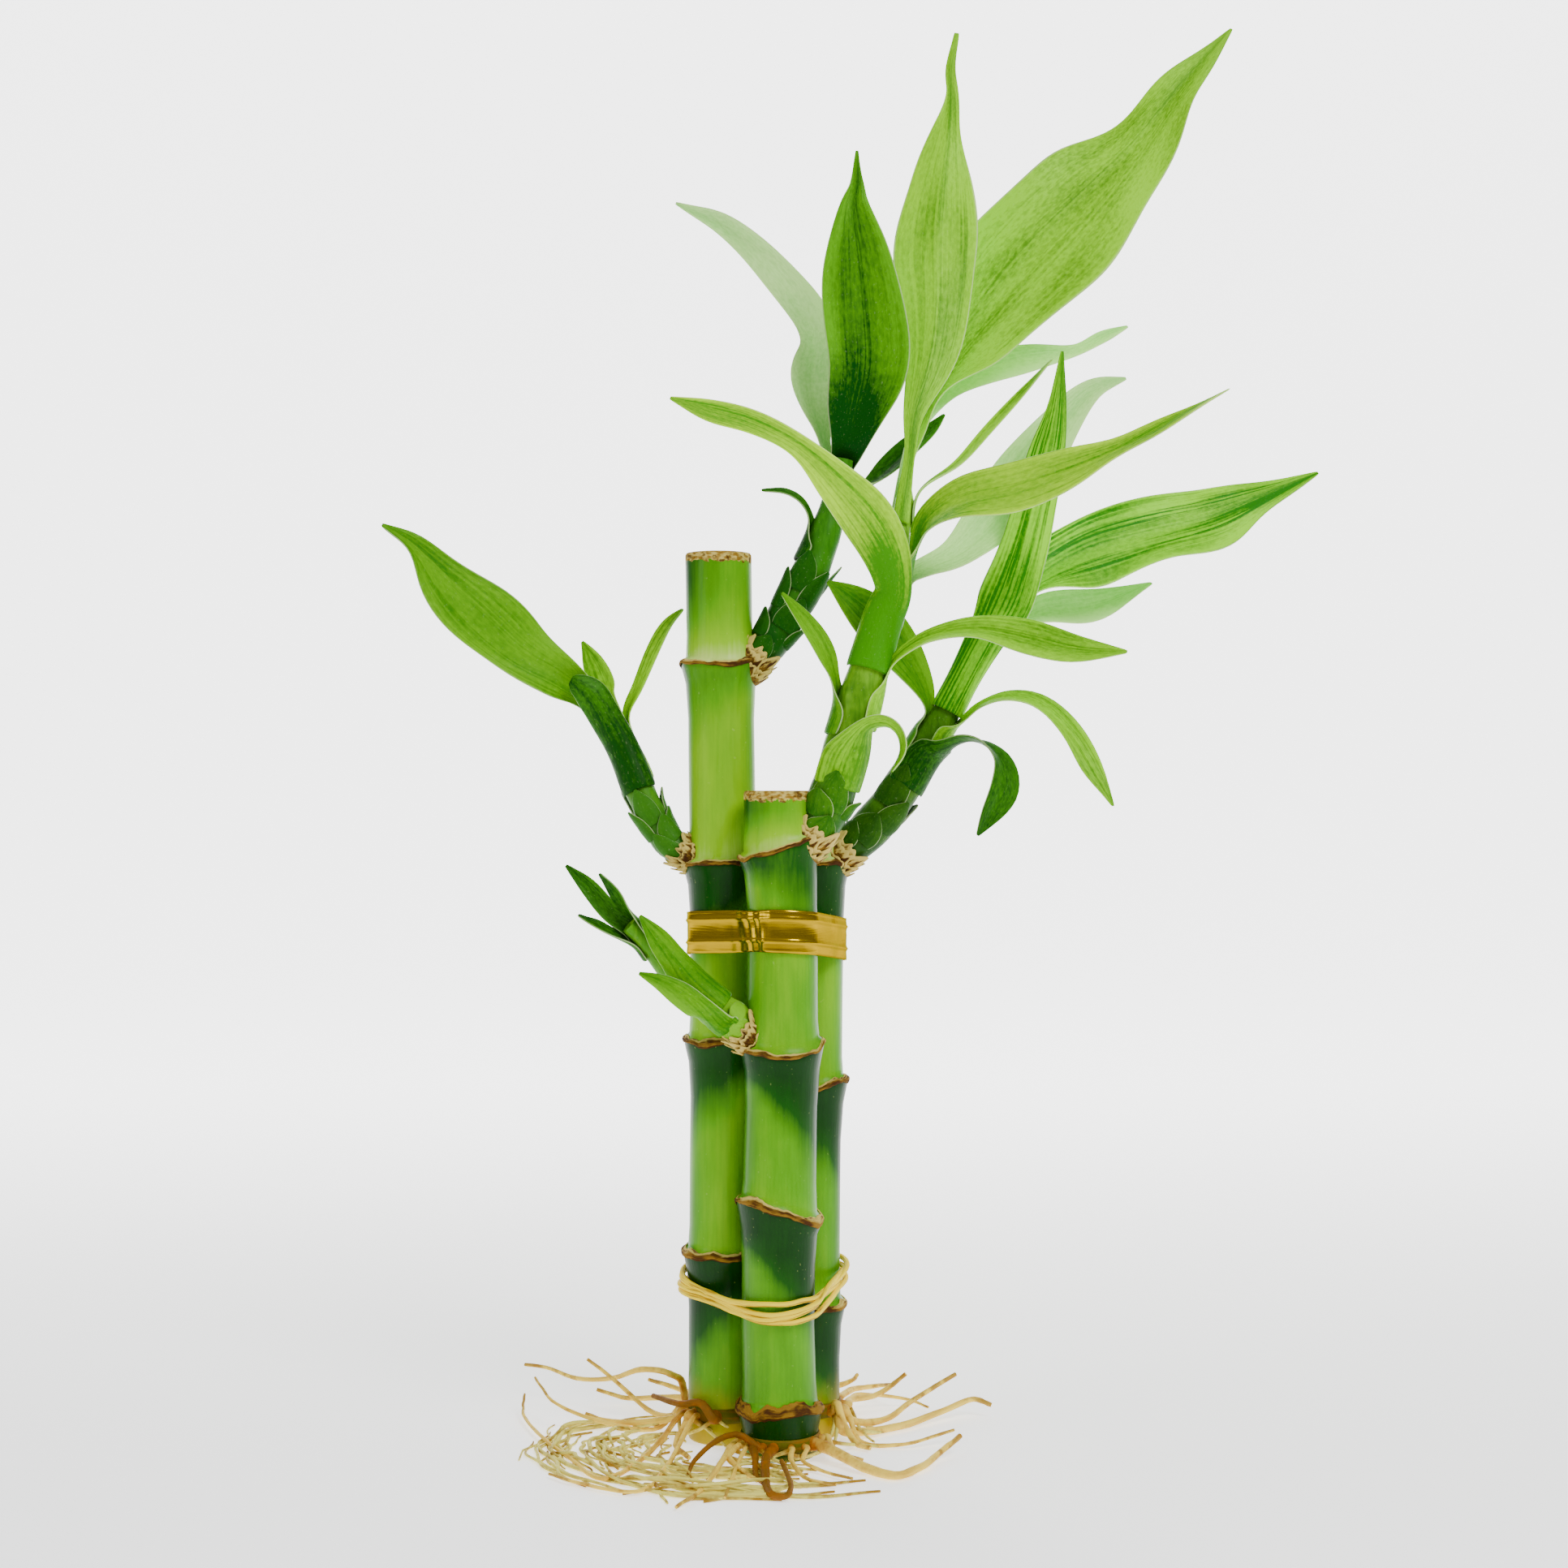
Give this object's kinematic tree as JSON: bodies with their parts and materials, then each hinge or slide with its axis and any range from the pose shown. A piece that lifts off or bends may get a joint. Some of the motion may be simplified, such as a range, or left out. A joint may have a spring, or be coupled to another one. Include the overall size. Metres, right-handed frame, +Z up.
{
  "type": "lucky bamboo",
  "caption": "Tied bundle of upright lucky bamboo canes with leafy green shoots, dry papery collars, a gold foil band, a raffia tie and a skirt of bare roots.",
  "frame": {"origin": "centre of the front cane's cut foot, on the ground", "axes": "+Z up along the canes; +X to the right and +Y away from someone facing the front cane"},
  "size_m": [0.2199, 0.1016, 0.3383],
  "materials": {
    "cane": "smooth waxy green bark, dry tan scars at the nodes",
    "gold_foil": "mirror gold metallised film",
    "raffia": "pale yellow twisted strands",
    "shoot_stem": "satin green, overlapping scales",
    "dry_sheath": "dry brown paper, torn edges",
    "dark_leaf": "satin dark green, fine parallel veins",
    "young_leaf": "satin yellow-green, fine parallel veins",
    "pale_leaf": "matt pale underside, fine parallel veins",
    "root": "matt cream roots, orange at the base"
  },
  "bodies": {
    "root": {"cane_tall": "cane", "cane_front": "cane", "cane_right": "cane", "gold_band": "gold_foil", "raffia_tie": "raffia", "stem_a": "shoot_stem", "stem_b": "shoot_stem", "stem_c": "shoot_stem", "stem_d": "shoot_stem", "stem_e": "shoot_stem", "dry_collar_a": "dry_sheath", "dry_collar_b": "dry_sheath", "dry_collar_c": "dry_sheath", "dry_collar_d": "dry_sheath", "dry_collar_e": "dry_sheath", "leaf_a_curled": "dark_leaf", "leaf_a_low": "dark_leaf", "leaf_a_pale": "pale_leaf", "leaf_a_top": "dark_leaf", "leaf_b_curled": "young_leaf", "leaf_b_left": "young_leaf", "leaf_b_arching": "young_leaf", "leaf_b_folded": "young_leaf", "leaf_b_wide": "young_leaf", "leaf_b_hidden": "pale_leaf", "leaf_b_thin": "young_leaf", "leaf_b_top": "young_leaf", "leaf_b_great": "young_leaf", "leaf_b_behind": "pale_leaf", "leaf_c_drooping": "dark_leaf", "leaf_c_arching": "young_leaf", "leaf_c_left": "dark_leaf", "leaf_c_upright": "young_leaf", "leaf_c_wide": "young_leaf", "leaf_c_pale": "pale_leaf", "leaf_d_tall": "young_leaf", "leaf_d_short": "young_leaf", "leaf_d_sheath": "dark_leaf", "leaf_d_great": "young_leaf", "leaf_e_sheath": "dark_leaf", "leaf_e_low": "dark_leaf", "leaf_e_right": "dark_leaf", "leaf_e_tip": "dark_leaf", "leaf_e_left": "dark_leaf", "roots_front": "root", "roots_tall": "root", "roots_right": "root"}
  },
  "joints": []
}
